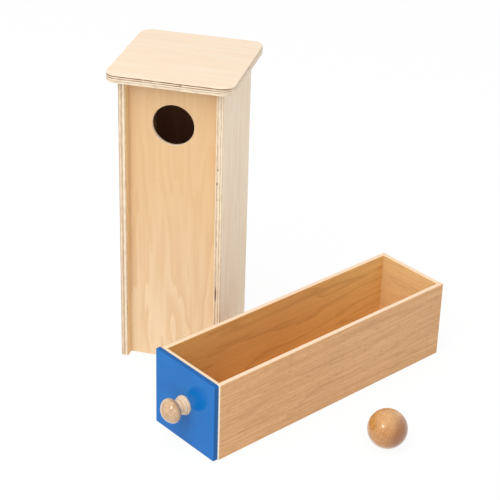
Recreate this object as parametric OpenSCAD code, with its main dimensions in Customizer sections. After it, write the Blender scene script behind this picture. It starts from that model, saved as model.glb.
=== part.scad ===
// Object permanence box: an upright plywood housing with a ball hole below an overhanging roof board,
// a long drawer that slides into the housing's open lower end, and a wooden ball.
// The drawer is drawn pulled right out and set down beside the housing, the ball next to it.
// The origin is on the floor below the middle of the group, and the housing faces -Y.

/* [Housing] */
// Outside width across the two side panels
housing_width = 121.2; // [90:0.1:160]
// Outside depth of the side panels, front edge to back edge
housing_depth = 120.7; // [90:0.1:160]
// Height of the side panels, from the floor to the roof board
housing_height = 355.8; // [260:0.2:420]
// Thickness of the side panels
side_thickness = 8.75; // [7:0.25:12]
// Rounding of the side panels' upright edges
side_arris = 1.2; // [0.4:0.1:2.5]
// Set-back of the front panel from the side panels' front edges
front_setback = 10.8; // [4:0.2:20]
// Thickness of the front panel
front_thickness = 4; // [3:0.25:9]
// Set-back of the back panel from the side panels' back edges
back_setback = 1.8; // [1.6:0.2:10]
// Thickness of the back panel
back_thickness = 3; // [2.5:0.25:9]
// Depth of the grooves in the side panels that hold the front and back panels
panel_groove = 2.5; // [1:0.25:4]

/* [Ball hole] */
// Diameter of the round hole in the front panel
hole_diameter = 48.4; // [46:0.2:70]
// Distance of the hole's centre below the roof board
hole_drop = 51.9; // [40:0.1:120]
// Width of the small chamfer on the hole's outer rim
hole_chamfer = 0.6; // [0.2:0.1:1.5]

/* [Roof] */
// Thickness of the roof board
roof_thickness = 9.8; // [8:0.2:14]
// Overhang of the roof board past the side panels, all round
roof_overhang = 12.4; // [2:0.2:25]
// Radius of the roof board's four corners
roof_corner = 13.5; // [3:0.5:16]
// Rounding of the roof board's upper and lower edges
roof_arris = 0.8; // [0.4:0.1:2.5]

/* [Roof dowels] */
// Diameter of the dowels between the side panels and the roof
dowel_diameter = 4; // [3:0.25:5]
// Length of each dowel inside its side panel
dowel_side_length = 14; // [8:0.5:24]
// Length of each dowel inside the roof board
dowel_roof_length = 5.5; // [3:0.5:6]
// Free space beyond each end of a dowel
dowel_end_gap = 0.5; // [0.2:0.1:1]

/* [Drawer] */
// Play between the drawer's walls and the housing on every side when the drawer is slid in
slide_clearance = 2.4; // [0.5:0.1:4]
// Play between the drawer and the roof board when the drawer's face is flush with the housing's open end
end_clearance = 2.8; // [0.5:0.1:10]
// Thickness of the drawer's two sides and its rear wall
drawer_wall = 5.5; // [4:0.25:9]
// Thickness of the drawer's front wall, behind the face board
front_wall = 4.5; // [4:0.25:9]
// Rounding of the drawer walls' upper edges
rim_arris = 0.8; // [0.3:0.1:1.5]
// Thickness of the drawer's bottom board
bottom_thickness = 4; // [2.5:0.25:8]
// Height of the bottom board's underside above the walls' lower edges
bottom_lift = 3; // [1.5:0.5:10]
// Depth of the grooves in the walls that hold the bottom board
bottom_groove = 2; // [1:0.25:3]

/* [Drawer face] */
// Thickness of the painted face board
face_thickness = 5.6; // [4:0.2:9]
// Play between the face board's edges and the housing when the drawer is slid in
face_clearance = 1.6; // [0.5:0.1:4]
// Share of that play by which the face board is set towards the drawer's far side
face_shift_share = 0.9; // [0:0.05:0.95]
// Radius of the face board's four corners
face_corner = 1.8; // [1.6:0.1:6]
// Rounding of the face board's edges
face_arris = 0.7; // [0.4:0.1:1.5]

/* [Knob] */
// Length of the knob from the face board to its tip
knob_length = 29.6; // [24:0.2:40]
// Diameter of the knob's cap
knob_cap_diameter = 28.8; // [26:0.2:40]
// Radius of the cap's round rim
knob_rim_radius = 6; // [4:0.1:7.5]
// Diameter of the knob's foot
knob_foot_diameter = 22.6; // [20:0.2:30]
// Thickness of the knob's foot
knob_foot_thickness = 3; // [2:0.1:4]
// Rounding of the foot's outer edge
knob_foot_arris = 0.9; // [0.5:0.1:1.4]
// Diameter of the bead on the foot
knob_bead_diameter = 20.4; // [18:0.2:26]
// Thickness of the bead on the foot
knob_bead_thickness = 3.4; // [2.4:0.1:4]
// Rounding of the bead's outer edge
knob_bead_arris = 1.6; // [0.5:0.1:1.8]
// Diameter of the knob's neck at its narrowest
knob_neck_diameter = 10.4; // [9:0.2:17]

/* [Knob screw] */
// Diameter of the screw's shank
screw_diameter = 4; // [3:0.1:5]
// Depth of the screw inside the knob
screw_grip = 14; // [8:0.5:18]
// Play round the shank in the drawer's front wall and face board
screw_clearance = 0.3; // [0.1:0.1:0.6]
// Diameter of the screw's head
screw_head_diameter = 8.4; // [6.5:0.1:10]
// Height of the screw's head
screw_head_height = 2.8; // [2:0.1:3.5]
// Width of the cross recess in the screw's head
screw_recess_width = 1; // [0.6:0.1:1.4]
// Depth of the cross recess in the screw's head
screw_recess_depth = 1.4; // [0.8:0.1:1.6]

/* [Ball] */
// Diameter of the ball
ball_diameter = 45; // [44.6:0.1:60]

/* [Layout] */
// Angle of the drawer's length to the housing's front, in degrees
drawer_turn = 55.4; // [20:0.2:80]
// Space between the drawer's far side and the housing's nearest corner
drawer_gap = 37.5; // [10:0.1:120]
// Length of drawer that stands in front of the housing's nearest corner
drawer_lead = 122.4; // [60:0.2:240]
// Space between the drawer's near side and the ball
ball_gap = 73.3; // [10:0.1:160]
// Distance of the ball from the drawer's face, along the drawer
ball_along = 168.5; // [40:0.5:320]

/* [Hidden] */
$fn = 96;
overrun = 1;

cavity_width = housing_width - 2 * side_thickness;
cavity_front = front_setback + front_thickness;
cavity_back = housing_depth - back_setback - back_thickness;
cavity_depth = cavity_back - cavity_front;
hole_height = housing_height - hole_drop;

roof_width = housing_width + 2 * roof_overhang;
roof_depth = housing_depth + 2 * roof_overhang;
dowel_place_shares = [0.1, 0.9];

drawer_width = cavity_width - 2 * slide_clearance;
drawer_height = cavity_depth - 2 * slide_clearance;
drawer_length = housing_height - end_clearance;
face_width = cavity_width - 2 * face_clearance;
face_height = cavity_depth - slide_clearance - face_clearance;
face_start = face_clearance * (1 + face_shift_share) - slide_clearance;
front_wall_back = face_thickness + front_wall;
rear_wall_front = drawer_length - drawer_wall;
screw_bore = screw_diameter + 2 * screw_clearance;
screw_hole_end_gap = screw_diameter / 2;

knob_body_start = knob_foot_thickness + knob_bead_thickness;
knob_rim_reach = knob_cap_diameter / 2 - knob_rim_radius;
knob_cap_share = 0.57;
knob_cap_back = knob_length * (1 - knob_cap_share);
knob_rim_centre = knob_cap_back + knob_rim_radius;
knob_dome_rise = knob_length - knob_rim_centre - knob_rim_radius;
knob_dome_drop = (pow(knob_rim_reach, 2) - pow(knob_dome_rise, 2)) / (2 * knob_dome_rise);
knob_dome_centre = knob_rim_centre - knob_dome_drop;
knob_dome_radius = knob_length - knob_dome_centre;
knob_rim_angle = atan2(knob_dome_drop, knob_rim_reach);
knob_flat_share = 0.999;
knob_cove_radius = (knob_cap_back - knob_body_start) / 2;

along = [cos(drawer_turn), sin(drawer_turn)];
across = [-sin(drawer_turn), cos(drawer_turn)];
drawer_place = [housing_width, 0] - drawer_lead * along - (drawer_width + drawer_gap) * across;
drawer_near_rear = drawer_place + drawer_length * along;
drawer_far_rear = drawer_near_rear + drawer_width * across;
group_low = [-roof_overhang, drawer_place.y + face_start * across.y];
group_high = [drawer_near_rear.x, drawer_far_rear.y];
group_centre = (group_low + group_high) / 2;

birch = [0.93, 0.83, 0.66];
pale_birch = [0.96, 0.90, 0.79];
beech = [0.83, 0.66, 0.46];
blue_paint = [0.16, 0.46, 0.80];
turned_wood = [0.89, 0.76, 0.58];
ball_wood = [0.79, 0.57, 0.35];
steel = [0.72, 0.72, 0.72];

// Places its children, drawn from the housing's front left corner, in the group's frame
module in_housing() {
    translate([-group_centre.x, -group_centre.y, 0])
        children();
}

// Places its children, drawn with +X along the drawer from its face and +Y to its far side
module in_drawer() {
    in_housing()
        translate([drawer_place.x, drawer_place.y, 0])
            rotate(drawer_turn)
                children();
}

// Places its children on the knob's axis at the face board, with +Z out of the drawer
module in_knob() {
    in_drawer()
        translate([0, face_start + face_width / 2, face_height / 2])
            rotate([0, -90, 0])
                children();
}

// Rectangle with four rounded corners
module rounded_rect(size, radius) {
    translate([radius, 0])
        square([size.x - 2 * radius, size.y]);
    translate([0, radius])
        square([size.x, size.y - 2 * radius]);
    for (x = [radius, size.x - radius], y = [radius, size.y - radius])
        translate([x, y])
            circle(r = radius);
}

// Section of a board's edge, from a line inside the board out to its rounded edge
module edge_section(reach, thickness, arris) {
    square([reach - arris, thickness]);
    translate([0, arris])
        square([reach, thickness - 2 * arris]);
    for (z = [arris, thickness - arris])
        translate([reach - arris, z])
            circle(r = arris);
}

// Flat board with rounded corners and rounded upper and lower edges
module eased_board(size, corner, arris) {
    runs = [size.y - 2 * corner, size.x - 2 * corner];
    centres = [
        [size.x - corner, size.y - corner],
        [corner, size.y - corner],
        [corner, corner],
        [size.x - corner, corner]
    ];
    translate([corner, corner, 0])
        cube([runs[1], runs[0], size.z]);
    for (i = [0 : len(centres) - 1])
        translate([centres[i].x, centres[i].y, 0])
            rotate(90 * i) {
                rotate_extrude(angle = 90)
                    edge_section(corner, size.z, arris);
                rotate([90, 0, 0])
                    linear_extrude(runs[i % 2])
                        edge_section(corner, size.z, arris);
            }
}

// Upright section of a drawer wall with both upper edges rounded
module rim_section(thickness, height, arris) {
    square([thickness, height - arris]);
    translate([arris, 0])
        square([thickness - 2 * arris, height]);
    for (x = [arris, thickness - arris])
        translate([x, height - arris])
            circle(r = arris);
}

// The dowels' cylinders, longer by end_gap at both ends
module dowel_set(end_gap) {
    in_housing()
        for (x = [side_thickness / 2, housing_width - side_thickness / 2], share = dowel_place_shares)
            translate([x, cavity_front + share * cavity_depth, housing_height - dowel_side_length - end_gap])
                cylinder(d = dowel_diameter, h = dowel_side_length + dowel_roof_length + 2 * end_gap);
}

// Upright panel between the side panels that reaches into their grooves
module housing_panel(front, thickness) {
    in_housing()
        translate([side_thickness - panel_groove, front, 0])
            cube([cavity_width + 2 * panel_groove, thickness, housing_height]);
}

// Side panel of the housing that starts at x, grooved for the front and back panels
module side_panel(x) {
    difference() {
        in_housing()
            translate([x, 0, 0])
                linear_extrude(housing_height)
                    rounded_rect([side_thickness, housing_depth], side_arris);
        housing_panel(front_setback, front_thickness);
        housing_panel(cavity_back, back_thickness);
        dowel_set(dowel_end_gap);
    }
}

module left_side_panel() {
    color(pale_birch)
        side_panel(0);
}

module right_side_panel() {
    color(pale_birch)
        side_panel(housing_width - side_thickness);
}

module front_panel() {
    color(birch)
        difference() {
            housing_panel(front_setback, front_thickness);
            in_housing()
                translate([housing_width / 2, front_setback, hole_height])
                    rotate([-90, 0, 0]) {
                        translate([0, 0, -overrun])
                            cylinder(d = hole_diameter, h = front_thickness + 2 * overrun);
                        translate([0, 0, -hole_chamfer])
                            cylinder(
                                d1 = hole_diameter + 4 * hole_chamfer,
                                d2 = hole_diameter,
                                h = 2 * hole_chamfer
                            );
                    }
        }
}

module back_panel() {
    color(birch)
        housing_panel(cavity_back, back_thickness);
}

module roof_board() {
    color(pale_birch)
        difference() {
            in_housing()
                translate([-roof_overhang, -roof_overhang, housing_height])
                    eased_board([roof_width, roof_depth, roof_thickness], roof_corner, roof_arris);
            dowel_set(dowel_end_gap);
        }
}

module roof_dowels() {
    color(beech)
        dowel_set(0);
}

// Blank of the bottom board, which the walls' grooves fit
module bottom_blank() {
    in_drawer()
        translate([front_wall_back - bottom_groove, drawer_wall - bottom_groove, bottom_lift])
            cube([
                rear_wall_front - front_wall_back + 2 * bottom_groove,
                drawer_width - 2 * (drawer_wall - bottom_groove),
                bottom_thickness
            ]);
}

// Long wall of the drawer that starts at y and runs from the face board to the drawer's rear end
module drawer_side(y) {
    difference() {
        in_drawer()
            translate([face_thickness, y, 0])
                rotate([90, 0, 90])
                    linear_extrude(drawer_length - face_thickness)
                        rim_section(drawer_wall, drawer_height, rim_arris);
        bottom_blank();
    }
}

// Cross wall of the drawer that starts at x and stands between the two sides
module cross_wall(x, thickness) {
    difference() {
        in_drawer()
            translate([x, drawer_width - drawer_wall, 0])
                rotate([90, 0, 0])
                    linear_extrude(drawer_width - 2 * drawer_wall)
                        rim_section(thickness, drawer_height, rim_arris);
        bottom_blank();
    }
}

module drawer_near_side() {
    color(beech)
        drawer_side(0);
}

module drawer_far_side() {
    color(beech)
        drawer_side(drawer_width - drawer_wall);
}

module drawer_front_wall() {
    color(beech)
        difference() {
            cross_wall(face_thickness, front_wall);
            screw_path();
        }
}

module drawer_rear_wall() {
    color(beech)
        cross_wall(rear_wall_front, drawer_wall);
}

module drawer_bottom() {
    color(beech)
        bottom_blank();
}

// Clear hole for the screw through the front wall and the face board
module screw_path() {
    in_knob()
        translate([0, 0, -front_wall_back - overrun])
            cylinder(d = screw_bore, h = front_wall_back + 2 * overrun);
}

module drawer_face() {
    color(blue_paint)
        difference() {
            in_drawer()
                translate([0, face_start, 0])
                    rotate([90, 0, 90])
                        eased_board([face_width, face_height, face_thickness], face_corner, face_arris);
            screw_path();
        }
}

// Half section of a disc, from its axis out to a rounded upper edge
module disc_section(radius, thickness, arris) {
    square([radius, thickness - arris]);
    square([radius - arris, thickness]);
    translate([radius - arris, thickness - arris])
        circle(r = arris);
}

// Half section of the knob's cap: a round rim that runs into a shallow dome over a hair-thin flat
module cap_section() {
    rim_middle = [knob_rim_reach, knob_rim_centre];
    rim_direction = [cos(knob_rim_angle), sin(knob_rim_angle)];
    sweep = 2 * knob_dome_radius;
    intersection() {
        union() {
            translate([0, knob_cap_back])
                square([knob_rim_reach, knob_rim_radius]);
            intersection() {
                translate(rim_middle)
                    circle(r = knob_rim_radius);
                polygon([
                    rim_middle,
                    rim_middle + [0, -sweep],
                    rim_middle + [sweep, -sweep],
                    rim_middle + [sweep, 0],
                    rim_middle + sweep * rim_direction
                ]);
            }
            intersection() {
                translate([0, knob_dome_centre])
                    circle(r = knob_dome_radius);
                polygon([
                    [0, knob_rim_centre],
                    rim_middle,
                    rim_middle + sweep * rim_direction,
                    [0, knob_rim_centre + sweep]
                ]);
            }
        }
        translate(rim_middle)
            rotate(knob_rim_angle)
                translate([-sweep, -sweep])
                    square([sweep + knob_flat_share * knob_rim_radius, 2 * sweep]);
    }
}

// Half section of the whole knob, from its axis outwards
module knob_section() {
    neck_reach = knob_neck_diameter / 2 + knob_cove_radius;
    disc_section(knob_foot_diameter / 2, knob_foot_thickness, knob_foot_arris);
    translate([0, knob_foot_thickness])
        disc_section(knob_bead_diameter / 2, knob_bead_thickness, knob_bead_arris);
    difference() {
        translate([0, knob_body_start])
            square([neck_reach, knob_rim_centre - knob_body_start]);
        translate([neck_reach, knob_body_start + knob_cove_radius])
            circle(r = knob_cove_radius);
    }
    cap_section();
}

module drawer_knob() {
    color(turned_wood)
        in_knob()
            difference() {
                rotate_extrude()
                    knob_section();
                translate([0, 0, -overrun])
                    cylinder(d = screw_diameter, h = overrun + screw_grip + screw_hole_end_gap);
            }
}

module knob_screw() {
    color(steel)
        in_knob()
            difference() {
                union() {
                    translate([0, 0, -front_wall_back])
                        cylinder(d = screw_diameter, h = front_wall_back + screw_grip);
                    translate([0, 0, -front_wall_back - screw_head_height])
                        cylinder(d = screw_head_diameter, h = screw_head_height);
                }
                for (turn = [0, 90])
                    rotate(turn)
                        translate([
                            -screw_diameter / 2,
                            -screw_recess_width / 2,
                            -front_wall_back - screw_head_height - overrun
                        ])
                            cube([screw_diameter, screw_recess_width, screw_recess_depth + overrun]);
            }
}

module ball() {
    color(ball_wood)
        in_drawer()
            translate([ball_along, -ball_gap - ball_diameter / 2, ball_diameter / 2])
                sphere(d = ball_diameter);
}

left_side_panel();
right_side_panel();
front_panel();
back_panel();
roof_board();
roof_dowels();
drawer_near_side();
drawer_far_side();
drawer_front_wall();
drawer_rear_wall();
drawer_bottom();
drawer_face();
drawer_knob();
knob_screw();
ball();
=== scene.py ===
"""Dresses the object permanence box: a plywood housing, a beech drawer with a painted face, and a ball."""

import logging
import math
from dataclasses import dataclass, field, replace
from enum import Enum

import bpy
from mathutils import Euler, Matrix, Vector

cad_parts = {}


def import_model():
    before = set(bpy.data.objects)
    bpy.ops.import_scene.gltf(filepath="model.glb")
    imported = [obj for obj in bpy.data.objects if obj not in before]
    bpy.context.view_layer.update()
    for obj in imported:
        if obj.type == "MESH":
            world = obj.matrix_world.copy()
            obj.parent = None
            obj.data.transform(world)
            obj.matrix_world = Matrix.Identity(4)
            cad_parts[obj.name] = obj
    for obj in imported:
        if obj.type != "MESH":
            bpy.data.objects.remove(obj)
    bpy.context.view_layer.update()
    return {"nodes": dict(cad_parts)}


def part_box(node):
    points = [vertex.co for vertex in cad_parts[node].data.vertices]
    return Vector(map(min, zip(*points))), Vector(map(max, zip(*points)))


LOG = logging.getLogger("permanence_box")
MM = 0.001

Colour = tuple[float, float, float, float]
Pair = tuple[float, float]
Triple = tuple[float, float, float]
Socket = bpy.types.NodeSocket
Feed = Socket | float | tuple[float, ...]
Nodes = dict[str, bpy.types.Object]


def shade(red: int, green: int, blue: int) -> Colour:
    """Turns a colour as a paint chart gives it into Blender's linear values.

    Args:
        red: Red from 0 to 255.
        green: Green from 0 to 255.
        blue: Blue from 0 to 255.

    Returns:
        Linear red, green and blue, and an alpha of 1.
    """
    shares = [level / 255 for level in (red, green, blue)]
    linear = [s / 12.92 if s <= 0.04045 else ((s + 0.055) / 1.055) ** 2.4 for s in shares]
    return (linear[0], linear[1], linear[2], 1.0)


def mm(first: float, second: float, third: float) -> Triple:
    """Turns three sizes in millimetres into metres."""
    return (first * MM, second * MM, third * MM)


class Graph:
    """Writes one node tree with short calls."""

    def __init__(self, tree: bpy.types.NodeTree) -> None:
        """Keeps the tree that the calls write to."""
        self.tree = tree

    def add(self, kind: str, **settings: object) -> bpy.types.Node:
        """Adds a node.

        Args:
            kind: The node's type, without the ShaderNode at its start.
            settings: Properties to set on the node.

        Returns:
            The new node.
        """
        node = self.tree.nodes.new("ShaderNode" + kind)
        for name, value in settings.items():
            setattr(node, name, value)
        return node

    def feed(self, socket: Socket, value: Feed) -> None:
        """Links a socket to another one, or sets its own value.

        Args:
            socket: The input that is fed.
            value: An output to link, or a plain value.
        """
        if isinstance(value, Socket):
            self.tree.links.new(value, socket)
        else:
            socket.default_value = value

    def math(self, operation: str, *values: Feed) -> Socket:
        """Adds a Math node.

        Args:
            operation: The node's operation.
            values: What its inputs take, in order.

        Returns:
            The node's output.
        """
        node = self.add("Math", operation=operation)
        for socket, value in zip(node.inputs, values):
            self.feed(socket, value)
        return node.outputs[0]

    def vector(self, operation: str, *values: Feed) -> Socket:
        """Adds a Vector Math node.

        Args:
            operation: The node's operation.
            values: What its inputs take, in order.

        Returns:
            The length for LENGTH, and the vector for the rest.
        """
        node = self.add("VectorMath", operation=operation)
        for socket, value in zip(node.inputs, values):
            self.feed(socket, value)
        return node.outputs["Value" if operation == "LENGTH" else "Vector"]

    def ease(self, value: Feed, low: Feed, high: Feed) -> Socket:
        """Rises smoothly from 0 at low to 1 at high.

        Args:
            value: The value that is eased.
            low: Where the rise starts.
            high: Where it ends.

        Returns:
            The eased value.
        """
        node = self.add("MapRange", interpolation_type="SMOOTHSTEP")
        for name, fed in (("Value", value), ("From Min", low), ("From Max", high)):
            self.feed(node.inputs[name], fed)
        return node.outputs["Result"]

    def fall(self, value: Feed, low: Feed, high: Feed) -> Socket:
        """Falls smoothly from 1 at low to 0 at high.

        Args:
            value: The value that is eased.
            low: Where the fall starts.
            high: Where it ends.

        Returns:
            The eased value.
        """
        return self.math("SUBTRACT", 1.0, self.ease(value, low, high))

    def noise(self, vector: Feed, scale: float, detail: float = 2.0, roughness: float = 0.5) -> Socket:
        """Adds a Noise Texture.

        Args:
            vector: Where the noise is read.
            scale: Its scale.
            detail: Its octaves.
            roughness: How strong the finer octaves are.

        Returns:
            The noise, around one half.
        """
        node = self.add("TexNoise")
        settings = {"Vector": vector, "Scale": scale, "Detail": detail, "Roughness": roughness}
        for name, fed in settings.items():
            self.feed(node.inputs[name], fed)
        return node.outputs[0]

    def mix(self, share: Feed, first: Feed, second: Feed) -> Socket:
        """Mixes two colours.

        Args:
            share: How much of the second colour there is.
            first: The colour at 0.
            second: The colour at 1.

        Returns:
            The mixed colour.
        """
        node = self.add("Mix", data_type="RGBA")
        # A Mix node has sockets for every data type: 0 is the share, 6 and 7 are the colours.
        for index, fed in ((0, share), (6, first), (7, second)):
            self.feed(node.inputs[index], fed)
        return node.outputs[2]

    def stain(self, colour: Feed, mask: Feed, share: Feed, tint: Colour) -> Socket:
        """Lays a tint over a colour where a mask shows it.

        Args:
            colour: The colour below.
            mask: Where the tint lies, from 0 to 1.
            share: How strong the tint is where the mask is 1.
            tint: The colour that is laid on.

        Returns:
            The stained colour.
        """
        return self.mix(self.math("MULTIPLY", mask, share), colour, tint)

    def split(self, vector: Feed) -> tuple[Socket, ...]:
        """Takes a vector apart.

        Args:
            vector: The vector.

        Returns:
            Its three values.
        """
        node = self.add("SeparateXYZ")
        self.feed(node.inputs[0], vector)
        return tuple(node.outputs)

    def steps(self, value: Feed, levels: tuple[float, ...]) -> Socket:
        """Gives one grey level for each equal step of a value from 0 to 1.

        Args:
            value: The value that picks the step.
            levels: One grey level for each step.

        Returns:
            The grey level as a colour.
        """
        node = self.add("ValToRGB")
        ramp = node.color_ramp
        ramp.interpolation = "CONSTANT"
        ramp.elements[1].position = 1 / len(levels)
        for index in range(2, len(levels)):
            ramp.elements.new(index / len(levels))
        for element, level in zip(ramp.elements, levels):
            element.color = (level, level, level, 1.0)
        self.feed(node.inputs[0], value)
        return node.outputs[0]

    def group(self, tree: bpy.types.NodeTree, **values: Feed) -> bpy.types.Node:
        """Places a node group.

        Args:
            tree: The group.
            values: What its inputs take.

        Returns:
            The placed group.
        """
        node = self.add("Group", node_tree=tree)
        for name, value in values.items():
            self.feed(node.inputs[name], value)
        return node


class Effects:
    """The shader node groups that the finishes share, each made once."""

    def __init__(self) -> None:
        """Makes every group."""
        self.grain = self._grain()
        self.layers = self._layers()
        self.sides = self._sides()
        self.spot = self._spot()
        self.rings = self._rings()

    @staticmethod
    def _start(
        name: str, takes: dict[str, str], gives: tuple[str, ...]
    ) -> tuple[Graph, dict[str, Socket]]:
        """Starts a group.

        Args:
            name: The group's name.
            takes: Each input's name and socket type.
            gives: The names of its outputs, all plain values.

        Returns:
            The group's graph, and its inputs by name.
        """
        tree = bpy.data.node_groups.new(name, "ShaderNodeTree")
        for label, kind in takes.items():
            tree.interface.new_socket(name=label, in_out="INPUT", socket_type="NodeSocket" + kind)
        for label in gives:
            tree.interface.new_socket(name=label, in_out="OUTPUT", socket_type="NodeSocketFloat")
        inlet = tree.nodes.new("NodeGroupInput")
        return Graph(tree), {label: inlet.outputs[label] for label in takes}

    @staticmethod
    def _end(graph: Graph, **values: Socket) -> bpy.types.NodeTree:
        """Ends a group.

        Args:
            graph: The group's graph.
            values: What each output gives.

        Returns:
            The finished group.
        """
        outlet = graph.tree.nodes.new("NodeGroupOutput")
        for name, value in values.items():
            graph.feed(outlet.inputs[name], value)
        return graph.tree

    def _grain(self) -> bpy.types.NodeTree:
        """Makes wood grain along X: broad streaks, short flecks, and the flames of a rotary cut veneer.

        Returns:
            The group.
        """
        marks = ("Streak", "Fleck", "Flame")
        takes = {"Vector": "Vector", "Rag": "Float"}
        for mark in marks:
            takes[mark + " Length"] = "Float"
            takes[mark + " Width"] = "Float"
        graph, given = self._start("wood_grain", takes, marks)
        drawn = {}
        for mark in marks:
            pitch = graph.add("CombineXYZ")
            for index, measure in enumerate((" Length", " Width", " Width")):
                graph.feed(pitch.inputs[index], given[mark + measure])
            drawn[mark] = graph.vector("DIVIDE", given["Vector"], pitch.outputs[0])
        streak_range = (0.34, 0.66)
        fleck_range = (0.54, 0.70)
        flame_lines = 9.0
        flame_rise = (0.0, 0.86)
        flame_drop = (0.9, 1.0)
        fibre = graph.noise(drawn["Streak"], 1.0, 4.0, 0.62)
        streak = graph.ease(fibre, *streak_range)
        fleck = graph.ease(graph.noise(drawn["Fleck"], 1.0, 1.0), *fleck_range)
        contour = graph.math("MULTIPLY", graph.noise(drawn["Flame"], 1.0, 3.0, 0.42), flame_lines)
        turn = graph.math("FRACT", graph.math("MULTIPLY_ADD", fibre, given["Rag"], contour))
        flame = graph.math("MULTIPLY", graph.ease(turn, *flame_rise), graph.fall(turn, *flame_drop))
        return self._end(graph, Streak=streak, Fleck=fleck, Flame=flame)

    def _layers(self) -> bpy.types.NodeTree:
        """Makes the glued layers of plywood from the depth through the board.

        Returns:
            The group.
        """
        takes = {"Depth": "Float", "Plies": "Float", "Skin": "Float"}
        graph, given = self._start("ply_layers", takes, ("Skin", "Glue"))
        middle = graph.math("ABSOLUTE", graph.math("SUBTRACT", given["Depth"], 0.5))
        skin = graph.math("GREATER_THAN", middle, graph.math("SUBTRACT", 0.5, given["Skin"]))
        glue_line = (0.03, 0.16)
        count = graph.math("MULTIPLY", given["Depth"], given["Plies"])
        glue = graph.fall(graph.math("PINGPONG", count, 0.5), *glue_line)
        return self._end(graph, Skin=skin, Glue=glue)

    def _sides(self) -> bpy.types.NodeTree:
        """Finds a board's arrises, and its narrow sides and ends.

        Returns:
            The group.
        """
        takes = {"Vector": "Vector", "Size": "Vector", "Arris": "Float"}
        graph, given = self._start("board_sides", takes, ("Edge", "Rim"))
        beyond = graph.vector("SUBTRACT", given["Size"], given["Vector"])
        along, across, through = graph.split(graph.vector("MINIMUM", given["Vector"], beyond))
        rim = graph.math("MINIMUM", along, across)
        inner = graph.math("MINIMUM", graph.math("MAXIMUM", along, across), through)
        near = graph.math("MULTIPLY", given["Arris"], 0.2)
        far = graph.math("MULTIPLY", given["Arris"], 0.6)
        edge = graph.fall(graph.math("MAXIMUM", rim, inner), near, given["Arris"])
        return self._end(graph, Edge=edge, Rim=graph.fall(rim, near, far))

    def _spot(self) -> bpy.types.NodeTree:
        """Makes one soft spot, as a void or a patch of other wood leaves, or as painted light or shade.

        Returns:
            The group.
        """
        takes = {"Vector": "Vector", "Centre": "Vector", "Reach": "Vector"}
        graph, given = self._start("soft_spot", takes, ("Spot",))
        core = 0.55
        offset = graph.vector("SUBTRACT", given["Vector"], given["Centre"])
        away = graph.vector("LENGTH", graph.vector("DIVIDE", offset, given["Reach"]))
        return self._end(graph, Spot=graph.fall(away, core, 1.0))

    def _rings(self) -> bpy.types.NodeTree:
        """Makes growth rings round a pith that runs along X.

        Returns:
            The group.
        """
        takes = {"Vector": "Vector", "Pith": "Vector", "Width": "Float"}
        graph, given = self._start("growth_rings", takes, ("Ring",))
        waver_scale = 45.0
        waver_reach = 6.0 * MM
        late_start = 0.25
        offset = graph.vector("SUBTRACT", given["Vector"], given["Pith"])
        away = graph.vector("LENGTH", graph.vector("MULTIPLY", offset, (0.0, 1.0, 1.0)))
        waver = graph.math("MULTIPLY", graph.noise(given["Vector"], waver_scale), waver_reach)
        turn = graph.math("FRACT", graph.math("DIVIDE", graph.math("ADD", away, waver), given["Width"]))
        return self._end(graph, Ring=graph.ease(turn, late_start, 1.0))


@dataclass(frozen=True)
class Board:
    """A piece's own axes: along its grain, across it, and through its thickness."""

    corner: Vector
    grain: Vector
    through: Vector
    size: Triple

    @classmethod
    def of_node(cls, node: bpy.types.Object, grain: Vector, through: Vector) -> "Board":
        """Measures a board on its CAD node, along the board's own axes.

        Args:
            node: The CAD node.
            grain: The direction of the grain.
            through: The direction through the thickness.

        Returns:
            The board, with its corner at the low end of each axis.
        """
        axes = (grain, through.cross(grain), through)
        reaches = [[point.co.dot(axis) for point in node.data.vertices] for axis in axes]
        corner = Vector()
        for axis, reach in zip(axes, reaches):
            corner += min(reach) * axis
        along, across, depth = (max(reach) - min(reach) for reach in reaches)
        return cls(corner, grain, through, (along, across, depth))

    def on_axis(self) -> "Board":
        """Gives the same axes for a turned piece.

        Returns:
            The board, with its corner moved to the middle of the far end.
        """
        across = self.through.cross(self.grain)
        length, width, depth = self.size
        middle = self.corner + length * self.grain + width / 2 * across + depth / 2 * self.through
        return replace(self, corner=middle)

    def turn(self) -> Euler:
        """Gives the turn from the frame's axes to the board's own."""
        across = self.through.cross(self.grain)
        return Matrix((self.grain, across, self.through)).transposed().to_euler()

    def coordinates(self, graph: Graph) -> Socket:
        """Adds nodes that read the board's own coordinates, in metres from its corner.

        Args:
            graph: The graph that is written.

        Returns:
            The coordinates: along, across and through.
        """
        mapping = graph.add("Mapping", vector_type="TEXTURE")
        graph.feed(mapping.inputs["Vector"], graph.add("TexCoord").outputs["Object"])
        graph.feed(mapping.inputs["Location"], tuple(self.corner))
        graph.feed(mapping.inputs["Rotation"], tuple(self.turn()))
        return mapping.outputs[0]


class Face(Enum):
    """The two wide faces of a board, by where they lie through its thickness."""

    LOW = 0
    HIGH = 1


@dataclass(frozen=True)
class Spot:
    """A void, a patch of other wood, or a patch of painted light or shade: its middle and reach on the
    board's axes, its strength and colour.
    """

    middle: Triple
    reach: Triple
    strength: float = 1.0
    tint: Colour = shade(84, 56, 36)


@dataclass(frozen=True)
class Figure:
    """One wide face of a beech board: its colour, and how strongly flames, streaks and flecks show."""

    colour: Colour
    flame: float
    streak: float
    fleck: float


@dataclass(frozen=True)
class Grain:
    """The marks in a wood, each with its length and width, and how ragged its flames are."""

    streak: Pair
    fleck: Pair
    flame: Pair = (100.0 * MM, 20.0 * MM)
    rag: float = 0.0

    def place(self, graph: Graph, effects: Effects, local: Socket) -> bpy.types.Node:
        """Places the grain in a material.

        Args:
            graph: The material's graph.
            effects: The shared node groups.
            local: The board's own coordinates.

        Returns:
            The placed group.
        """
        node = graph.group(effects.grain, Vector=local, Rag=self.rag)
        for mark, sizes in (("Streak", self.streak), ("Fleck", self.fleck), ("Flame", self.flame)):
            for measure, size in zip((" Length", " Width"), sizes):
                graph.feed(node.inputs[mark + measure], size)
        return node


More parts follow.
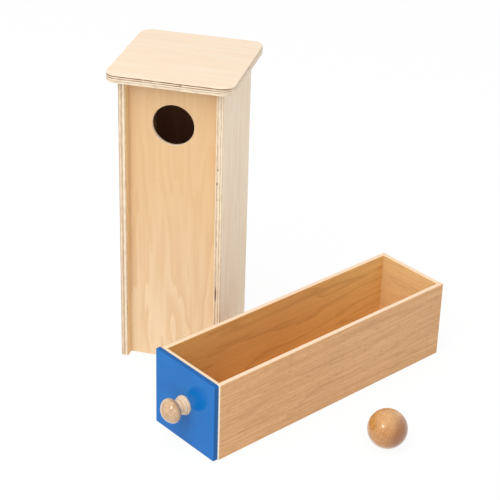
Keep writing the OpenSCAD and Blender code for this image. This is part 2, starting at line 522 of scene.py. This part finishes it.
@dataclass(frozen=True)
class Sheen:
    """How a surface shines: its roughness, what a mask adds to that, its fine relief and its specular level.

    The relief has a depth in metres, and a strength for how much of it shows.
    """

    roughness: float
    spread: float
    depth: float
    strength: float
    specular: float = 0.3

    def give(self, graph: Graph, shader: bpy.types.Node, mask: Feed, height: Feed) -> None:
        """Gives a shader its shine and its fine relief.

        Args:
            graph: The material's graph.
            shader: Its shader.
            mask: Where the surface is duller, from 0 to 1.
            height: The relief, from 0 to 1.
        """
        dullness = graph.math("MULTIPLY_ADD", mask, self.spread, self.roughness)
        graph.feed(shader.inputs["Roughness"], dullness)
        shader.inputs["Specular IOR Level"].default_value = self.specular
        bump = graph.add("Bump")
        graph.feed(bump.inputs["Strength"], self.strength)
        graph.feed(bump.inputs["Distance"], self.depth)
        graph.feed(bump.inputs["Height"], height)
        graph.feed(shader.inputs["Normal"], bump.outputs[0])


class Finish:
    """What every finish does: it opens a material with its Principled shader, and lays spots."""

    name: str

    def open(self, piece: str) -> tuple[bpy.types.Material, Graph, bpy.types.Node]:
        """Opens a new material.

        Args:
            piece: The piece that wears it.

        Returns:
            The material, its graph and its shader.
        """
        material = bpy.data.materials.new(f"{self.name}.{piece}")
        material.use_nodes = True
        graph = Graph(material.node_tree)
        return material, graph, material.node_tree.nodes["Principled BSDF"]

    @staticmethod
    def spotted(
        graph: Graph, effects: Effects, local: Socket, colour: Socket, spots: tuple[Spot, ...]
    ) -> Socket:
        """Lays spots over a colour.

        Args:
            graph: The material's graph.
            effects: The shared node groups.
            local: The board's own coordinates.
            colour: The colour below.
            spots: The spots, in order.

        Returns:
            The spotted colour.
        """
        for spot in spots:
            placed = graph.group(effects.spot, Vector=local, Centre=spot.middle, Reach=spot.reach)
            colour = graph.stain(colour, placed.outputs["Spot"], spot.strength, spot.tint)
        return colour


@dataclass(frozen=True)
class Plywood(Finish):
    """Lacquered birch plywood: veneer faces over pale and dark plies."""

    name: str = "birch_plywood"
    faces: dict[Face, Colour] = field(default_factory=dict)
    grain: Grain = Grain((160.0 * MM, 6.0 * MM), (4.0 * MM, 0.5 * MM), (280.0 * MM, 55.0 * MM), 0.9)
    sheen: Sheen = Sheen(roughness=0.46, spread=0.10, depth=0.06 * MM, strength=0.35)
    flame_tint: Colour = shade(226, 188, 142)
    flame_share: float = 0.25
    streak_tint: Colour = shade(205, 170, 130)
    streak_share: float = 0.25
    fleck_share: float = 0.07
    # Painted light: the colour and share below make a panel's faces lighter toward its foot, for the light
    # that falls there.
    foot: Colour = shade(255, 238, 208)
    painted_foot_light: float = 0.0
    foot_reach: float = 260.0 * MM
    foot_feather: float = 0.5
    skin: float = 0.3 * MM
    tones: tuple[float, ...] = (0.8, 0.4, 0.9, 0.45, 0.9, 0.4, 0.8)
    waver: float = 1.2
    waver_scale: float = 90.0
    waver_squash: Triple = (1.0, 1.0, 8.0)
    pale_ply: Colour = shade(250, 233, 206)
    dark_ply: Colour = shade(176, 142, 108)
    pore_scale: float = 900.0
    pore_share: float = 0.22
    glue: Colour = shade(150, 112, 76)
    glue_share: float = 0.15
    pale_end: float = 0.0
    end_start: float = 0.97
    spots: tuple[Spot, ...] = ()

    def make(self, piece: str, board: Board, effects: Effects) -> bpy.types.Material:
        """Makes the material for one board.

        Args:
            piece: The board's name.
            board: Its axes and size.
            effects: The shared node groups.

        Returns:
            The material.
        """
        material, graph, shader = self.open(piece)
        local = board.coordinates(graph)
        along, _, through = graph.split(local)
        length, _, thickness = board.size
        depth = graph.math("DIVIDE", through, thickness)
        grain = self.grain.place(graph, effects, local)
        skin = self.skin / thickness
        layers = graph.group(effects.layers, Depth=depth, Plies=float(len(self.tones)), Skin=skin)
        end = graph.ease(along, self.end_start * length, length)
        plies = self._plies(graph, local, depth, end)
        plies = graph.stain(plies, layers.outputs["Glue"], self.glue_share, self.glue)
        veneer = self._veneer(graph, grain, along, depth)
        colour = graph.mix(layers.outputs["Skin"], plies, veneer)
        colour = self.spotted(graph, effects, local, colour, self.spots)
        graph.feed(shader.inputs["Base Color"], colour)
        height = graph.math("SUBTRACT", 1.0, grain.outputs["Fleck"])
        self.sheen.give(graph, shader, grain.outputs["Streak"], height)
        return material

    def _veneer(self, graph: Graph, grain: bpy.types.Node, along: Socket, depth: Socket) -> Socket:
        """Colours the two wide faces, with painted light that makes them lighter toward the foot.

        Args:
            graph: The material's graph.
            grain: The placed grain.
            along: How far along the board a point is.
            depth: How far through it, from 0 to 1.

        Returns:
            The veneer's colour.
        """
        side = graph.math("GREATER_THAN", depth, 0.5)
        veneer = graph.mix(side, self.faces[Face.LOW], self.faces[Face.HIGH])
        flame = grain.outputs["Flame"]
        veneer = graph.stain(veneer, flame, self.flame_share, self.flame_tint)
        veneer = graph.stain(veneer, grain.outputs["Streak"], self.streak_share, self.streak_tint)
        veneer = graph.stain(veneer, grain.outputs["Fleck"], self.fleck_share, self.glue)
        # Painted light: the faces turn lighter toward the foot, less so in the flames.
        feather = graph.math("MULTIPLY_ADD", flame, -self.foot_feather, 1.0)
        low = graph.math("MULTIPLY", graph.fall(along, 0.0, self.foot_reach), feather)
        return graph.stain(veneer, low, self.painted_foot_light, self.foot)

    def _plies(self, graph: Graph, local: Socket, depth: Socket, end: Socket) -> Socket:
        """Colours the plies on the cut edges.

        Args:
            graph: The material's graph.
            local: The board's own coordinates.
            depth: How far through the board a point is, from 0 to 1.
            end: A mask for the end where the dark plies are paler.

        Returns:
            The plies' colour.
        """
        squashed = graph.vector("MULTIPLY", local, self.waver_squash)
        swing = graph.math("SUBTRACT", graph.noise(squashed, self.waver_scale), 0.5)
        tone = graph.math("MULTIPLY_ADD", swing, self.waver, graph.steps(depth, self.tones))
        tone = graph.math("MULTIPLY_ADD", end, self.pale_end, tone)
        plies = graph.mix(tone, self.dark_ply, self.pale_ply)
        pores = graph.noise(local, self.pore_scale, 3.0, 0.7)
        return graph.stain(plies, pores, self.pore_share, self.dark_ply)


@dataclass(frozen=True)
class Beech(Finish):
    """Lacquered beech: fine short flecks along the grain, thin flame lines, and pale cut edges."""

    name: str = "beech"
    faces: dict[Face, Figure] = field(default_factory=dict)
    grain: Grain = Grain((150.0 * MM, 3.0 * MM), (9.0 * MM, 0.6 * MM), (360.0 * MM, 50.0 * MM), 0.5)
    sheen: Sheen = Sheen(roughness=0.42, spread=0.10, depth=0.08 * MM, strength=0.4)
    fleck_tint: Colour = shade(164, 112, 70)
    streak_tint: Colour = shade(190, 136, 86)
    flame_tint: Colour = shade(156, 90, 40)
    flame_edge: float = 12.0
    rim: Colour = shade(236, 208, 178)
    rim_fleck: float = 0.12
    arris: float = 0.8 * MM
    # The pale lip: the near wall's end grain, and a painted highlight on the eased edge beside it.
    cut: Colour = shade(255, 246, 228)
    lip: float = 0.0
    # Painted light: bright, pale_end and end_start make a board lighter toward its far end, where more light
    # falls into the drawer.
    bright: Colour = shade(255, 220, 146)
    pale_end: float = 0.0
    end_start: float = 0.45

    def make(self, piece: str, board: Board, effects: Effects) -> bpy.types.Material:
        """Makes the material for one board.

        Args:
            piece: The board's name.
            board: Its axes and size.
            effects: The shared node groups.

        Returns:
            The material.
        """
        material, graph, shader = self.open(piece)
        local = board.coordinates(graph)
        along, _, through = graph.split(local)
        length, _, thickness = board.size
        side = graph.math("GREATER_THAN", through, thickness / 2)
        grain = self.grain.place(graph, effects, local)
        fleck = grain.outputs["Fleck"]
        flame = graph.math("POWER", grain.outputs["Flame"], self.flame_edge)
        low, high = self.faces[Face.LOW], self.faces[Face.HIGH]
        colour = graph.mix(side, low.colour, high.colour)
        # Painted light: the board turns lighter toward its far end.
        far = graph.ease(along, self.end_start * length, length)
        colour = graph.stain(colour, far, self.pale_end, self.bright)
        for mask, tint, first, second in (
            (flame, self.flame_tint, low.flame, high.flame),
            (grain.outputs["Streak"], self.streak_tint, low.streak, high.streak),
            (fleck, self.fleck_tint, low.fleck, high.fleck),
        ):
            share = graph.math("MULTIPLY_ADD", side, second - first, first)
            colour = graph.stain(colour, mask, share, tint)
        sides = graph.group(effects.sides, Vector=local, Size=board.size, Arris=self.arris)
        pale = graph.stain(self.rim, fleck, self.rim_fleck, self.streak_tint)
        colour = graph.mix(sides.outputs["Rim"], colour, pale)
        # End grain with a painted highlight: the board's first lip is painted pale.
        if self.lip:
            colour = graph.mix(graph.fall(along, 0.6 * self.lip, self.lip), colour, self.cut)
        graph.feed(shader.inputs["Base Color"], colour)
        self.sheen.give(graph, shader, fleck, graph.math("SUBTRACT", 1.0, fleck))
        return material


@dataclass(frozen=True)
class Paint(Finish):
    """Glossy blue paint, rolled on, with painted shade along its arrises and narrow sides."""

    name: str = "blue_paint"
    grain: Grain = Grain((90.0 * MM, 4.0 * MM), (6.0 * MM, 0.8 * MM))
    sheen: Sheen = Sheen(roughness=0.02, spread=0.015, depth=0.08 * MM, strength=0.05, specular=0.19)
    coat: Colour = shade(5, 111, 190)
    deep: Colour = shade(3, 99, 179)
    deep_share: float = 0.45
    cloud_scale: float = 26.0
    cloud_range: Pair = (0.35, 0.68)
    peel_scale: float = 620.0
    # Painted shade: the narrow sides and arrises are painted a deeper blue, as they lie in shade.
    rim: Colour = shade(4, 88, 154)
    edge_shade_share: float = 0.9
    arris_shade_share: float = 0.5
    arris: float = 0.7 * MM
    fleck_relief: float = 0.35

    def make(self, piece: str, board: Board, effects: Effects) -> bpy.types.Material:
        """Makes the material for the painted board.

        Args:
            piece: The board's name.
            board: Its axes and size.
            effects: The shared node groups.

        Returns:
            The material.
        """
        material, graph, shader = self.open(piece)
        local = board.coordinates(graph)
        cloud = graph.ease(graph.noise(local, self.cloud_scale, 3.0, 0.55), *self.cloud_range)
        colour = graph.stain(self.coat, cloud, self.deep_share, self.deep)
        sides = graph.group(effects.sides, Vector=local, Size=board.size, Arris=self.arris)
        # Painted shade along the arrises and narrow sides.
        edge = graph.math("MULTIPLY", sides.outputs["Edge"], self.arris_shade_share)
        painted_edge_shade = graph.math("MAXIMUM", edge, sides.outputs["Rim"])
        colour = graph.stain(colour, painted_edge_shade, self.edge_shade_share, self.rim)
        graph.feed(shader.inputs["Base Color"], colour)
        peel = graph.noise(local, self.peel_scale)
        fleck = self.grain.place(graph, effects, local).outputs["Fleck"]
        height = graph.math("MULTIPLY_ADD", fleck, self.fleck_relief, peel)
        self.sheen.give(graph, shader, cloud, height)
        return material


@dataclass(frozen=True)
class TurnedWood(Finish):
    """Turned wood under clear gloss lacquer, with growth rings and flecks along the grain."""

    name: str = "turned_wood"
    grain: Grain = Grain((50.0 * MM, 4.0 * MM), (3.5 * MM, 0.7 * MM))
    sheen: Sheen = Sheen(roughness=0.36, spread=0.08, depth=0.05 * MM, strength=0.3)
    early: Colour = shade(216, 183, 144)
    late: Colour = shade(170, 123, 82)
    fleck_tint: Colour = shade(166, 116, 76)
    pith: Triple = mm(0.0, 50.0, 30.0)
    ring: float = 2.8 * MM
    ring_share: float = 0.35
    blotch: float = 0.55
    blotch_scale: float = 150.0
    blotch_range: Pair = (0.38, 0.66)
    streak_share: float = 0.3
    fleck_share: float = 0.4
    coat: float = 0.8
    coat_roughness: float = 0.12
    coat_index: float = 1.7
    spots: tuple[Spot, ...] = ()

    def make(self, piece: str, board: Board, effects: Effects) -> bpy.types.Material:
        """Makes the material for one turned piece.

        Args:
            piece: The piece's name.
            board: Its axes and size.
            effects: The shared node groups.

        Returns:
            The material.
        """
        material, graph, shader = self.open(piece)
        local = board.coordinates(graph)
        rings = graph.group(effects.rings, Vector=local, Pith=self.pith, Width=self.ring)
        grain = self.grain.place(graph, effects, local)
        fleck = grain.outputs["Fleck"]
        cloud = graph.ease(graph.noise(local, self.blotch_scale, 3.0, 0.6), *self.blotch_range)
        colour = graph.stain(self.early, rings.outputs["Ring"], self.ring_share, self.late)
        colour = graph.stain(colour, cloud, self.blotch, self.late)
        colour = graph.stain(colour, grain.outputs["Streak"], self.streak_share, self.late)
        colour = graph.stain(colour, fleck, self.fleck_share, self.fleck_tint)
        colour = self.spotted(graph, effects, local, colour, self.spots)
        graph.feed(shader.inputs["Base Color"], colour)
        shader.inputs["Coat Weight"].default_value = self.coat
        shader.inputs["Coat Roughness"].default_value = self.coat_roughness
        shader.inputs["Coat IOR"].default_value = self.coat_index
        self.sheen.give(graph, shader, fleck, graph.math("SUBTRACT", 1.0, fleck))
        return material


@dataclass(frozen=True)
class Steel(Finish):
    """Plain steel, turned, with fine rings round the screw's axis."""

    name: str = "steel"
    sheen: Sheen = Sheen(roughness=0.25, spread=0.2, depth=0.02 * MM, strength=0.2, specular=0.5)
    bright: Colour = shade(196, 196, 198)
    dull: Colour = shade(150, 150, 154)
    cloud_scale: float = 1400.0
    ring: float = 0.3 * MM

    def make(self, piece: str, board: Board, effects: Effects) -> bpy.types.Material:
        """Makes the material for the screw.

        Args:
            piece: The screw's name.
            board: Its axes and size.
            effects: The shared node groups.

        Returns:
            The material.
        """
        material, graph, shader = self.open(piece)
        local = board.coordinates(graph)
        rings = graph.group(effects.rings, Vector=local, Width=self.ring)
        cloud = graph.noise(local, self.cloud_scale, 3.0)
        graph.feed(shader.inputs["Base Color"], graph.mix(cloud, self.bright, self.dull))
        shader.inputs["Metallic"].default_value = 1.0
        self.sheen.give(graph, shader, cloud, rings.outputs["Ring"])
        return material


def wear(nodes: Nodes, piece: str, material: bpy.types.Material) -> None:
    """Puts a material on a CAD node and reports it.

    Args:
        nodes: The frame's nodes.
        piece: The node's name.
        material: What it wears.
    """
    slots = nodes[piece].data.materials
    slots.clear()
    slots.append(material)
    LOG.info("%s wears %s", piece, material.name)


@dataclass
class Housing:
    """The upright plywood housing: two sides, front and back panels, a roof board and its dowels."""

    effects: Effects
    side_face: Colour = shade(255, 238, 213)
    inner_face: Colour = shade(240, 212, 164)
    front_face: Colour = shade(227, 190, 144)
    roof_face: Colour = shade(228, 209, 186)
    # Painted shade: the housing's inside faces are painted darker than the plywood, for the shade inside it.
    painted_shade_face: Colour = shade(169, 121, 96)
    dowel: Figure = Figure(shade(222, 184, 140), 0.1, 0.4, 0.5)
    left_tones: tuple[float, ...] = (0.2, 0.8, 0.45, 0.3, 1.0, 0.85, 0.25)
    right_tones: tuple[float, ...] = (0.95, 0.4, 0.7, 0.95, 0.45, 1.0, 0.5)
    front_tones: tuple[float, ...] = (1.0, 0.8, 0.95, 0.7, 0.9)
    back_tones: tuple[float, ...] = (0.9, 0.4, 0.9)
    roof_tones: tuple[float, ...] = (0.95, 0.85, 0.6, 0.95, 0.3, 0.95, 0.0, 0.9)
    front_flame: Pair = (280.0 * MM, 38.0 * MM)

    def dress(self, nodes: Nodes) -> None:
        """Gives each of the housing's pieces its finish.

        Args:
            nodes: The frame's nodes.
        """
        right, back, up = Vector((1.0, 0.0, 0.0)), Vector((0.0, 1.0, 0.0)), Vector((0.0, 0.0, 1.0))
        side = Board.of_node(nodes["right_side_panel"], up, right)
        roof = Board.of_node(nodes["roof_board"], right, up)
        for piece, finish, board in (
            ("left_side_panel", self._left_side(), Board.of_node(nodes["left_side_panel"], up, right)),
            ("right_side_panel", self._right_side(side), side),
            ("front_panel", self._front(), Board.of_node(nodes["front_panel"], up, back)),
            ("back_panel", self._back(), Board.of_node(nodes["back_panel"], up, back)),
            ("roof_board", self._roof(roof), roof),
            ("roof_dowels", self._dowels(), Board.of_node(nodes["roof_dowels"], up, right)),
        ):
            wear(nodes, piece, finish.make(piece, board, self.effects))

    def _left_side(self) -> Plywood:
        """Gives the left side panel's plywood."""
        faces = {Face.LOW: self.side_face, Face.HIGH: self.inner_face}
        return Plywood(faces=faces, tones=self.left_tones, flame_share=0.14, streak_share=0.12)

    def _right_side(self, board: Board) -> Plywood:
        """Gives the right side panel's plywood, with voids in its front edge, a knot on its outside, and
        painted light toward its foot.

        Args:
            board: The panel.

        Returns:
            The finish.
        """
        edge = board.size[1] / MM
        voids = (
            Spot(mm(102.5, edge, 2.66), mm(12.5, 4.0, 0.9)),
            Spot(mm(262.2, edge, 2.96), mm(1.8, 4.0, 0.8), 0.8),
            Spot(mm(244.8, edge, 2.36), mm(2.4, 4.0, 0.9)),
            Spot(mm(225.0, edge, 2.86), mm(2.0, 4.0, 0.6), 0.6),
            Spot(mm(167.7, edge, 2.76), mm(6.0, 4.0, 0.5), 0.5),
        )
        knot = Spot(mm(296.7, 26.06, 8.56), mm(1.6, 1.6, 3.0), 0.3)
        # Painted light: the panel is painted lighter toward its foot.
        return Plywood(
            faces={Face.LOW: self.inner_face, Face.HIGH: self.side_face}, tones=self.right_tones,
            flame_share=0.14, streak_share=0.12, painted_foot_light=0.9, foot=shade(255, 244, 220),
            spots=(*voids, knot),
        )

    def _front(self) -> Plywood:
        """Gives the front panel's plywood, with narrow flames, painted light toward its foot and painted
        shade on its inside face.
        """
        # Painted light makes the panel lighter toward its foot; its inside face wears painted shade.
        return Plywood(
            faces={Face.LOW: self.front_face, Face.HIGH: self.painted_shade_face}, tones=self.front_tones,
            grain=replace(Plywood.grain, flame=self.front_flame), flame_tint=shade(214, 170, 118),
            flame_share=0.24, streak_share=0.1, painted_foot_light=0.5,
        )

    def _back(self) -> Plywood:
        """Gives the back panel's plywood, with painted shade on its inside face."""
        faces = {Face.LOW: self.painted_shade_face, Face.HIGH: self.side_face}
        return Plywood(faces=faces, tones=self.back_tones, flame_share=0.1, streak_share=0.06)

    def _roof(self, board: Board) -> Plywood:
        """Gives the roof board's plywood, with slits in its front and right edges.

        Args:
            board: The roof board.

        Returns:
            The finish.
        """
        verge = board.size[0] / MM
        slits = (
            Spot(mm(68.11, 0.0, 8.2), mm(4.0, 3.0, 0.6), 0.8),
            Spot(mm(87.81, 0.0, 6.7), mm(2.2, 3.0, 0.6), 0.8),
            Spot(mm(137.41, 0.0, 8.4), mm(5.0, 6.0, 0.7), 0.7),
            Spot(mm(verge, 69.14, 7.7), mm(3.0, 6.0, 0.9), 0.9),
        )
        return Plywood(
            faces={Face.LOW: self.roof_face, Face.HIGH: self.roof_face}, tones=self.roof_tones,
            dark_ply=shade(124, 78, 46), flame_share=0.16, streak_share=0.1, glue_share=0.0,
            pale_end=0.45, spots=slits,
        )

    def _dowels(self) -> Beech:
        """Gives the dowels' beech."""
        return Beech(faces={Face.LOW: self.dowel, Face.HIGH: self.dowel})


@dataclass
class Drawer:
    """The drawer: four walls, a bottom, the painted face, and its knob and screw."""

    effects: Effects
    turn: float = 55.4
    # The near wall's pale lip: end grain, and a painted highlight on its eased front edge.
    lip: float = 2.0 * MM
    # Painted light: the far side is painted lighter toward the drawer's rear end.
    pale_end: float = 0.6
    outer: Figure = Figure(shade(227, 178, 127), 0.16, 0.52, 0.44)
    inner: Figure = Figure(shade(229, 178, 108), 0.24, 0.24, 0.16)
    # Painted light: the rear wall's inside faces the light and is painted lighter than the other inside
    # faces.
    rear_inner: Figure = Figure(shade(239, 204, 146), 0.14, 0.2, 0.2)
    # Painted light: the knob's foot, in the shade of its cap, is painted paler.
    painted_knob_foot_light: Spot = Spot(mm(-4.0, 0.0, 0.0), mm(11.0, 30.0, 30.0), 0.6, shade(255, 228, 194))

    def dress(self, nodes: Nodes) -> None:
        """Gives each of the drawer's pieces its finish.

        Args:
            nodes: The frame's nodes.
        """
        angle = math.radians(self.turn)
        along = Vector((math.cos(angle), math.sin(angle), 0.0))
        across = Vector((-math.sin(angle), math.cos(angle), 0.0))
        up = Vector((0.0, 0.0, 1.0))
        inside_high = {Face.LOW: self.outer, Face.HIGH: self.inner}
        inside_low = {Face.LOW: self.inner, Face.HIGH: self.outer}
        end_low = {Face.LOW: self.rear_inner, Face.HIGH: self.outer}
        for piece, finish, grain, through in (
            ("drawer_near_side", Beech(faces=inside_high, lip=self.lip), along, across),
            ("drawer_far_side", Beech(faces=inside_low, pale_end=self.pale_end), along, across),
            ("drawer_front_wall", Beech(faces=inside_high), across, along),
            ("drawer_rear_wall", Beech(faces=end_low), across, along),
            ("drawer_bottom", Beech(faces=inside_high), along, up),
            ("drawer_face", Paint(), across, along),
        ):
            board = Board.of_node(nodes[piece], grain, through)
            wear(nodes, piece, finish.make(piece, board, self.effects))
        knob = TurnedWood(spots=(self.painted_knob_foot_light,))
        for piece, finish in (("drawer_knob", knob), ("knob_screw", Steel())):
            board = Board.of_node(nodes[piece], along, across).on_axis()
            wear(nodes, piece, finish.make(piece, board, self.effects))


@dataclass(frozen=True)
class Patch:
    """A patch of painted light or shade on the ball: the way to it, its reach, its strength and its colour.
    """

    way: Triple
    reach: float
    strength: float
    tint: Colour

    def on(self, board: Board, radius: float) -> Spot:
        """Places the patch on the ball.

        Args:
            board: The ball's own axes.
            radius: The ball's radius.

        Returns:
            The patch as a spot in those axes.
        """
        middle = board.turn().to_matrix().transposed() @ Vector(self.way).normalized() * radius
        return Spot(tuple(middle), (self.reach,) * 3, self.strength, self.tint)


@dataclass
class Ball:
    """The turned wooden ball."""

    effects: Effects
    grain: Triple = (0.35, -0.45, 0.82)
    finish: TurnedWood = TurnedWood(
        name="ball_wood", early=shade(207, 149, 80), late=shade(166, 105, 46), fleck_tint=shade(144, 86, 40),
        pith=mm(0.0, 30.0, 12.0), ring=3.6 * MM, ring_share=0.3, blotch=0.45, coat=0.9, coat_index=1.62,
    )
    # Painted shade: the ball's right side is painted darker, for the shade on that side.
    painted_side_shade: Patch = Patch((0.95, -0.22, -0.1), 28.0 * MM, 0.66, shade(126, 60, 4))
    # Painted light: the ball's top is painted paler, where the light falls.
    painted_top_light: Patch = Patch((0.1, -0.1, 0.97), 24.0 * MM, 0.16, shade(246, 208, 160))

    def dress(self, nodes: Nodes) -> None:
        """Gives the ball its finish.

        Args:
            nodes: The frame's nodes.
        """
        low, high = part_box("ball")
        grain = Vector(self.grain).normalized()
        through = grain.orthogonal().normalized()
        board = Board((low + high) / 2, grain, through, tuple(high - low))
        # The patches paint light on the ball's top and shade on its right side.
        spots = tuple(patch.on(board, (high - low).x / 2) for patch in (self.painted_top_light, self.painted_side_shade))
        finish = replace(self.finish, spots=spots)
        wear(nodes, "ball", finish.make("ball", board, self.effects))


@dataclass(frozen=True)
class Lamp:
    """A square soft lamp: its power and side, the way to it and how far off it hangs.

    A lamp that isn't mirrored shines on the object but doesn't show in its gloss.
    """

    name: str
    power: float
    side: float
    way: Triple
    distance: float
    mirrored: bool = True
    aim: Triple = (0.0, 0.0, 0.1)

    def hang(self) -> None:
        """Hangs the lamp so that it shines on the object."""
        lamp = bpy.data.lights.new(self.name, "AREA")
        lamp.energy = self.power
        lamp.size = self.side
        holder = bpy.data.objects.new(self.name, lamp)
        way = Vector(self.way).normalized()
        holder.location = way * self.distance + Vector(self.aim)
        holder.rotation_euler = way.to_track_quat("Z", "Y").to_euler()
        holder.visible_glossy = self.mirrored
        bpy.context.collection.objects.link(holder)


@dataclass
class Studio:
    """The pale floor, the soft light and the camera."""

    eye: Triple = (0.342462, -1.520607, 1.028482)
    yaw: float = 13.416
    pitch: float = 28.77
    roll: float = 1.712
    lens: float = 113.97
    sensor: float = 36.0
    sky: float = 0.72
    white: Colour = (1.0, 1.0, 1.0, 1.0)
    key: Lamp = Lamp("soft_key", 7.0, 0.46, (-0.257, -0.744, 0.616), 2.1)
    top: Lamp = Lamp("top_light", 30.0, 1.8, (-0.12, -0.38, 0.92), 2.4, mirrored=False)
    floor_reach: float = 4.0
    floor_glow: float = 0.92
    floor_paper: Colour = (0.82, 0.82, 0.82, 1.0)
    floor_bright: Colour = (0.95, 0.95, 0.95, 1.0)

    def build(self) -> None:
        """Builds the floor, the sky, the lamps and the camera."""
        self._floor()
        self._sky()
        self.key.hang()
        self.top.hang()
        self._camera()
        LOG.info("studio is set")

    @staticmethod
    def _blend(graph: Graph, share: Feed, first: Socket, second: Socket) -> Socket:
        """Mixes two shaders.

        Args:
            graph: The graph that is written.
            share: How much of the second shader there is.
            first: The shader at 0.
            second: The shader at 1.

        Returns:
            The mixed shader.
        """
        node = graph.add("MixShader")
        for socket, value in zip(node.inputs, (share, first, second)):
            graph.feed(socket, value)
        return node.outputs[0]

    @staticmethod
    def _seen(graph: Graph) -> Socket:
        """Gives 1 for the rays that show the background: camera, glossy and transmission rays.

        Args:
            graph: The graph that is written.

        Returns:
            The mask.
        """
        path = graph.add("LightPath")
        mirrored = graph.math(
            "MAXIMUM", path.outputs["Is Glossy Ray"], path.outputs["Is Transmission Ray"]
        )
        return graph.math("MAXIMUM", path.outputs["Is Camera Ray"], mirrored)

    def _floor(self) -> None:
        """Lays the floor, white to the eye but for the object's soft shadow."""
        bpy.ops.object.select_all(action="DESELECT")
        bpy.ops.mesh.primitive_circle_add(vertices=64, radius=self.floor_reach, fill_type="NGON")
        floor = bpy.context.object
        floor.name = "floor"
        bpy.ops.object.mode_set(mode="EDIT")
        bpy.ops.mesh.select_all(action="SELECT")
        bpy.ops.mesh.inset(thickness=self.floor_reach / 4)
        bpy.ops.object.mode_set(mode="OBJECT")
        material = bpy.data.materials.new("pale_floor")
        material.use_nodes = True
        material.node_tree.nodes.clear()
        graph = Graph(material.node_tree)
        paper = graph.add("BsdfDiffuse")
        graph.feed(paper.inputs["Color"], self.floor_paper)
        bright = graph.add("BsdfDiffuse")
        graph.feed(bright.inputs["Color"], self.floor_bright)
        glow = graph.add("Emission")
        white = self._blend(graph, self.floor_glow, bright.outputs[0], glow.outputs[0])
        surface = self._blend(graph, self._seen(graph), paper.outputs[0], white)
        graph.feed(graph.add("OutputMaterial").inputs["Surface"], surface)
        floor.data.materials.append(material)

    def _sky(self) -> None:
        """Makes an even white sky, plain white where it is seen."""
        world = bpy.data.worlds.new("soft_sky")
        world.use_nodes = True
        world.node_tree.nodes.clear()
        graph = Graph(world.node_tree)
        soft = graph.add("Background")
        graph.feed(soft.inputs["Strength"], self.sky)
        graph.feed(soft.inputs["Color"], self.white)
        plain = graph.add("Background")
        graph.feed(plain.inputs["Color"], self.white)
        surface = self._blend(graph, self._seen(graph), soft.outputs[0], plain.outputs[0])
        graph.feed(graph.add("OutputWorld").inputs["Surface"], surface)
        bpy.context.scene.world = world

    def _camera(self) -> None:
        """Sets the camera at the photograph's angle."""
        yaw, pitch, roll = (math.radians(angle) for angle in (self.yaw, self.pitch, self.roll))
        level = Vector((math.cos(yaw), math.sin(yaw), 0.0))
        forward = Vector((-math.sin(yaw), math.cos(yaw), 0.0))
        ahead = math.cos(pitch) * forward - math.sin(pitch) * Vector((0.0, 0.0, 1.0))
        rise = level.cross(ahead)
        right = math.cos(roll) * level + math.sin(roll) * rise
        top = math.cos(roll) * rise - math.sin(roll) * level
        view = bpy.data.cameras.new("camera")
        view.sensor_width = self.sensor
        view.lens = self.lens
        holder = bpy.data.objects.new("camera", view)
        turn = Matrix((right, top, -ahead)).transposed().to_4x4()
        holder.matrix_world = Matrix.Translation(self.eye) @ turn
        bpy.context.collection.objects.link(holder)
        bpy.context.scene.camera = holder


def main() -> None:
    """Loads the frame, dresses every piece and sets the studio."""
    logging.basicConfig(level=logging.INFO, format="%(message)s")
    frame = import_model()
    effects = Effects()
    for assembly in (Housing(effects), Drawer(effects), Ball(effects)):
        assembly.dress(frame["nodes"])
    Studio().build()
    bpy.context.scene.view_settings.view_transform = "Standard"


if __name__ == "__main__":
    main()
